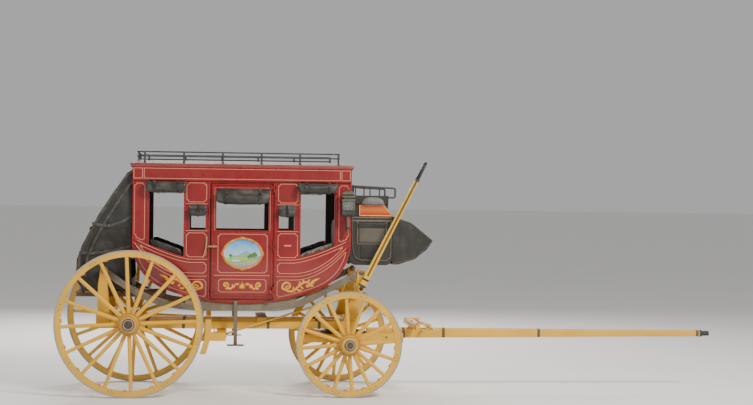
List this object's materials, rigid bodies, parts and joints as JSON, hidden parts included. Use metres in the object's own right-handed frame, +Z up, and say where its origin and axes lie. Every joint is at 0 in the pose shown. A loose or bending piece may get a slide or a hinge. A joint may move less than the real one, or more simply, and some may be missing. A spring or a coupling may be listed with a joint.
{
  "type": "thoroughbrace stagecoach",
  "caption": "Horse-drawn passenger coach: curved cabin slung on leather straps over a wooden running gear with spoked wheels, steering fore-carriage and pole.",
  "frame": {"origin": "ground point under the middle of the whole length, on the centre plane", "axes": "+X forward along the pole, +Y to the coach's left, +Z up"},
  "size_m": [7.385, 1.85, 2.633],
  "materials": {
    "painted_body": "satin red paint with fine stripes",
    "painted_gear": "straw yellow paint, dusty",
    "black_leather": "worn black leather",
    "seat_leather": "brown buttoned leather",
    "brace_leather": "grey-tan layered harness leather",
    "dark_iron": "black painted wrought iron",
    "tyre_iron": "dusty worn iron",
    "dark_wood": "dark painted boards",
    "plain_wood": "oiled hardwood",
    "roof_canvas": "painted canvas over boards"
  },
  "bodies": {
    "coach": {"body_floor": "painted_body", "side_right": "painted_body", "side_left": "painted_body", "front_wall": "painted_body", "rear_wall": "painted_body", "roof": "roof_canvas", "roof_rail": "dark_iron", "bench_rear": "plain_wood", "bench_middle": "plain_wood", "bench_front": "plain_wood", "cushion_rear": "seat_leather", "cushion_middle": "seat_leather", "cushion_front": "seat_leather", "curtains_right": "black_leather", "curtains_left": "black_leather", "front_boot": "dark_wood", "footboard": "dark_wood", "dash_leather": "black_leather", "driver_seat": "dark_wood", "driver_cushion": "seat_leather", "side_boards": "painted_body", "seat_rail": "dark_iron", "lamp_right": "dark_iron", "lamp_left": "dark_iron", "rear_rack": "plain_wood", "rear_boot_leather": "black_leather", "thoroughbrace_right": "brace_leather", "thoroughbrace_left": "brace_leather", "body_sills": "plain_wood", "perches": "painted_gear", "perch_irons": "dark_iron", "rear_axle": "painted_gear", "rear_standards": "painted_gear", "front_transom": "painted_gear", "turn_plate_upper": "dark_iron", "steps": "dark_iron"},
    "fore_carriage": {"front_axle": "painted_gear", "futchells": "painted_gear", "turn_plate_lower": "dark_iron", "pole": "painted_gear", "pole_iron": "dark_iron"},
    "evener_bar": {"evener": "painted_gear"},
    "singletree_bar_right": {"singletree_right": "painted_gear"},
    "singletree_bar_left": {"singletree_left": "painted_gear"},
    "brake_lever_arm": {"brake_lever": "painted_gear"},
    "brake_gear": {"brake_beam": "painted_gear", "brake_rod": "dark_iron"},
    "door_panel_right": {"door_right": "painted_body", "curtain_door_right": "black_leather"},
    "door_panel_left": {"door_left": "painted_body", "curtain_door_left": "black_leather"},
    "front_wheel_right": {"wheel_front_right": "painted_gear", "tyre_front_right": "tyre_iron"},
    "front_wheel_left": {"wheel_front_left": "painted_gear", "tyre_front_left": "tyre_iron"},
    "rear_wheel_right": {"wheel_rear_right": "painted_gear", "tyre_rear_right": "tyre_iron"},
    "rear_wheel_left": {"wheel_rear_left": "painted_gear", "tyre_rear_left": "tyre_iron"}
  },
  "joints": [
    {"name": "steering", "type": "hinge", "parent": "coach", "child": "fore_carriage", "pos_m": [-0.5575, 0, 0.652], "axis": [0, 0, 1], "range_deg": [-18, 18]},
    {"name": "front_wheel_right_spin", "type": "hinge", "parent": "fore_carriage", "child": "front_wheel_right", "pos_m": [-0.5575, -0.785, 0.572], "axis": [0, 1, 0], "continuous": true},
    {"name": "front_wheel_left_spin", "type": "hinge", "parent": "fore_carriage", "child": "front_wheel_left", "pos_m": [-0.5575, 0.785, 0.572], "axis": [0, 1, 0], "continuous": true},
    {"name": "rear_wheel_right_spin", "type": "hinge", "parent": "coach", "child": "rear_wheel_right", "pos_m": [-2.9075, -0.785, 0.785], "axis": [0, 1, 0], "continuous": true},
    {"name": "rear_wheel_left_spin", "type": "hinge", "parent": "coach", "child": "rear_wheel_left", "pos_m": [-2.9075, 0.785, 0.785], "axis": [0, 1, 0], "continuous": true},
    {"name": "door_right_hinge", "type": "hinge", "parent": "coach", "child": "door_panel_right", "pos_m": [-1.3805, -0.675, 1.6], "axis": [0, 0, 1], "range_deg": [0, 95]},
    {"name": "door_left_hinge", "type": "hinge", "parent": "coach", "child": "door_panel_left", "pos_m": [-1.3805, 0.675, 1.6], "axis": [0, 0, -1], "range_deg": [0, 95]},
    {"name": "brake_lever_pivot", "type": "hinge", "parent": "coach", "child": "brake_lever_arm", "pos_m": [-0.4295, -0.716, 1.175], "axis": [0, 1, 0], "range_deg": [0, 19]},
    {"name": "brake_beam_slide", "type": "slide", "parent": "coach", "child": "brake_gear", "axis": [-1, 0, 0], "range_m": [0, 0.02]},
    {"name": "evener_pivot", "type": "hinge", "parent": "fore_carriage", "child": "evener_bar", "pos_m": [0.2225, 0, 0.7123], "axis": [0, 0, 1], "range_deg": [-15, 15]},
    {"name": "singletree_right_pivot", "type": "hinge", "parent": "evener_bar", "child": "singletree_bar_right", "pos_m": [0.3625, -0.45, 0.7373], "axis": [0, 0, 1], "range_deg": [-12, 12]},
    {"name": "singletree_left_pivot", "type": "hinge", "parent": "evener_bar", "child": "singletree_bar_left", "pos_m": [0.3625, 0.45, 0.7373], "axis": [0, 0, 1], "range_deg": [-12, 12]}
  ],
  "couplings": [
    {"joint": "brake_beam_slide", "follows": "brake_lever_pivot", "m_per_rad": 0.06}
  ]
}
